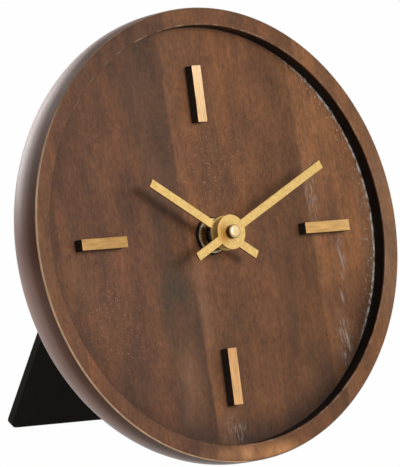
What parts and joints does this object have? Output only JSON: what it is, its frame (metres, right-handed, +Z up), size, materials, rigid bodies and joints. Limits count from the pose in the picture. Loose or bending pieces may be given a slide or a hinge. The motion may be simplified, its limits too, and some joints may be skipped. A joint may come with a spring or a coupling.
{
  "type": "desk clock",
  "caption": "Round dished wooden desk clock that leans on a bent steel easel leg, with bar hour marks, two straight brass hands and a quartz movement let into its back.",
  "frame": {"origin": "centre of the assembly's footprint box, on the surface it stands on", "axes": "+Z up, -Y out of the dial towards the viewer (the dial leans back 15.6 degrees), +X to the viewer's right"},
  "size_m": [0.152, 0.098, 0.1487],
  "materials": {
    "walnut_stained_wood": "stained and oiled, satin",
    "satin_brass": "satin lacquered",
    "black_coated_steel": "matte powder coat",
    "black_screws": "black oxide",
    "black_plastic": "moulded, fine spark texture",
    "black_rubber": "matte",
    "plated_brass": "plated, lightly dulled",
    "natural_plastic": "natural acetal",
    "silicon_steel": "stamped",
    "copper_winding": "enamelled copper wire",
    "board_laminate": "phenolic laminate",
    "crystal_can": "drawn can",
    "battery_jacket": "printed-free film jacket",
    "nickel_strip": "nickel plated"
  },
  "bodies": {
    "clock": {"case": "walnut_stained_wood", "mark_12": "satin_brass", "mark_3": "satin_brass", "mark_6": "satin_brass", "mark_9": "satin_brass", "stand": "black_coated_steel", "stand_screws": "black_screws", "movement_housing": "black_plastic", "movement_cover": "black_plastic", "rubber_washer": "black_rubber", "brass_washer": "plated_brass", "mounting_nut": "plated_brass", "middle_plate": "natural_plastic", "stator": "silicon_steel", "drive_coil": "copper_winding", "circuit_board": "board_laminate", "quartz_crystal": "crystal_can", "battery": "battery_jacket", "positive_contact": "nickel_strip", "negative_contact": "nickel_strip"},
    "minute_work": {"minute_arbor": "natural_plastic", "minute_hand": "satin_brass", "hand_nut": "satin_brass"},
    "hour_work": {"hour_wheel": "natural_plastic", "hour_hand": "satin_brass"},
    "setting_work": {"setting_stem": "natural_plastic", "setting_knob": "black_plastic"},
    "rotor_work": {"rotor": "natural_plastic"},
    "intermediate_work": {"intermediate_wheel": "natural_plastic"},
    "second_work": {"second_wheel": "natural_plastic"},
    "third_work": {"third_wheel": "natural_plastic"},
    "centre_work": {"centre_wheel": "natural_plastic"}
  },
  "joints": [
    {"name": "minute_turn", "type": "hinge", "parent": "clock", "child": "minute_work", "pos_m": [0, -0.02874, 0.07567], "axis": [0, 0.9632, -0.2689], "continuous": true},
    {"name": "hour_turn", "type": "hinge", "parent": "clock", "child": "hour_work", "pos_m": [0, -0.02874, 0.07567], "axis": [0, 0.9632, -0.2689], "continuous": true},
    {"name": "setting_turn", "type": "hinge", "parent": "clock", "child": "setting_work", "pos_m": [-0.01039, -0.01855, 0.07906], "axis": [0, 0.9632, -0.2689], "continuous": true},
    {"name": "rotor_turn", "type": "hinge", "parent": "clock", "child": "rotor_work", "pos_m": [0.00311, -0.01588, 0.08863], "axis": [0, 0.9632, -0.2689], "continuous": true},
    {"name": "intermediate_turn", "type": "hinge", "parent": "clock", "child": "intermediate_work", "pos_m": [0.00862, -0.01562, 0.08957], "axis": [0, 0.9632, -0.2689], "continuous": true},
    {"name": "second_turn", "type": "hinge", "parent": "clock", "child": "second_work", "pos_m": [0.01224, -0.01701, 0.0846], "axis": [0, 0.9632, -0.2689], "continuous": true},
    {"name": "third_turn", "type": "hinge", "parent": "clock", "child": "third_work", "pos_m": [0.01086, -0.0191, 0.07709], "axis": [0, 0.9632, -0.2689], "continuous": true},
    {"name": "centre_turn", "type": "hinge", "parent": "clock", "child": "centre_work", "pos_m": [0, -0.02017, 0.07328], "axis": [0, 0.9632, -0.2689], "continuous": true}
  ],
  "couplings": [
    {"joint": "hour_turn", "follows": "minute_turn", "ratio": 0.083333},
    {"joint": "setting_turn", "follows": "minute_turn", "ratio": -0.33333},
    {"joint": "intermediate_turn", "follows": "rotor_turn", "ratio": -0.16667},
    {"joint": "second_turn", "follows": "rotor_turn", "ratio": 0.033333},
    {"joint": "third_turn", "follows": "rotor_turn", "ratio": -0.0041667},
    {"joint": "centre_turn", "follows": "rotor_turn", "ratio": 0.00055556}
  ]
}
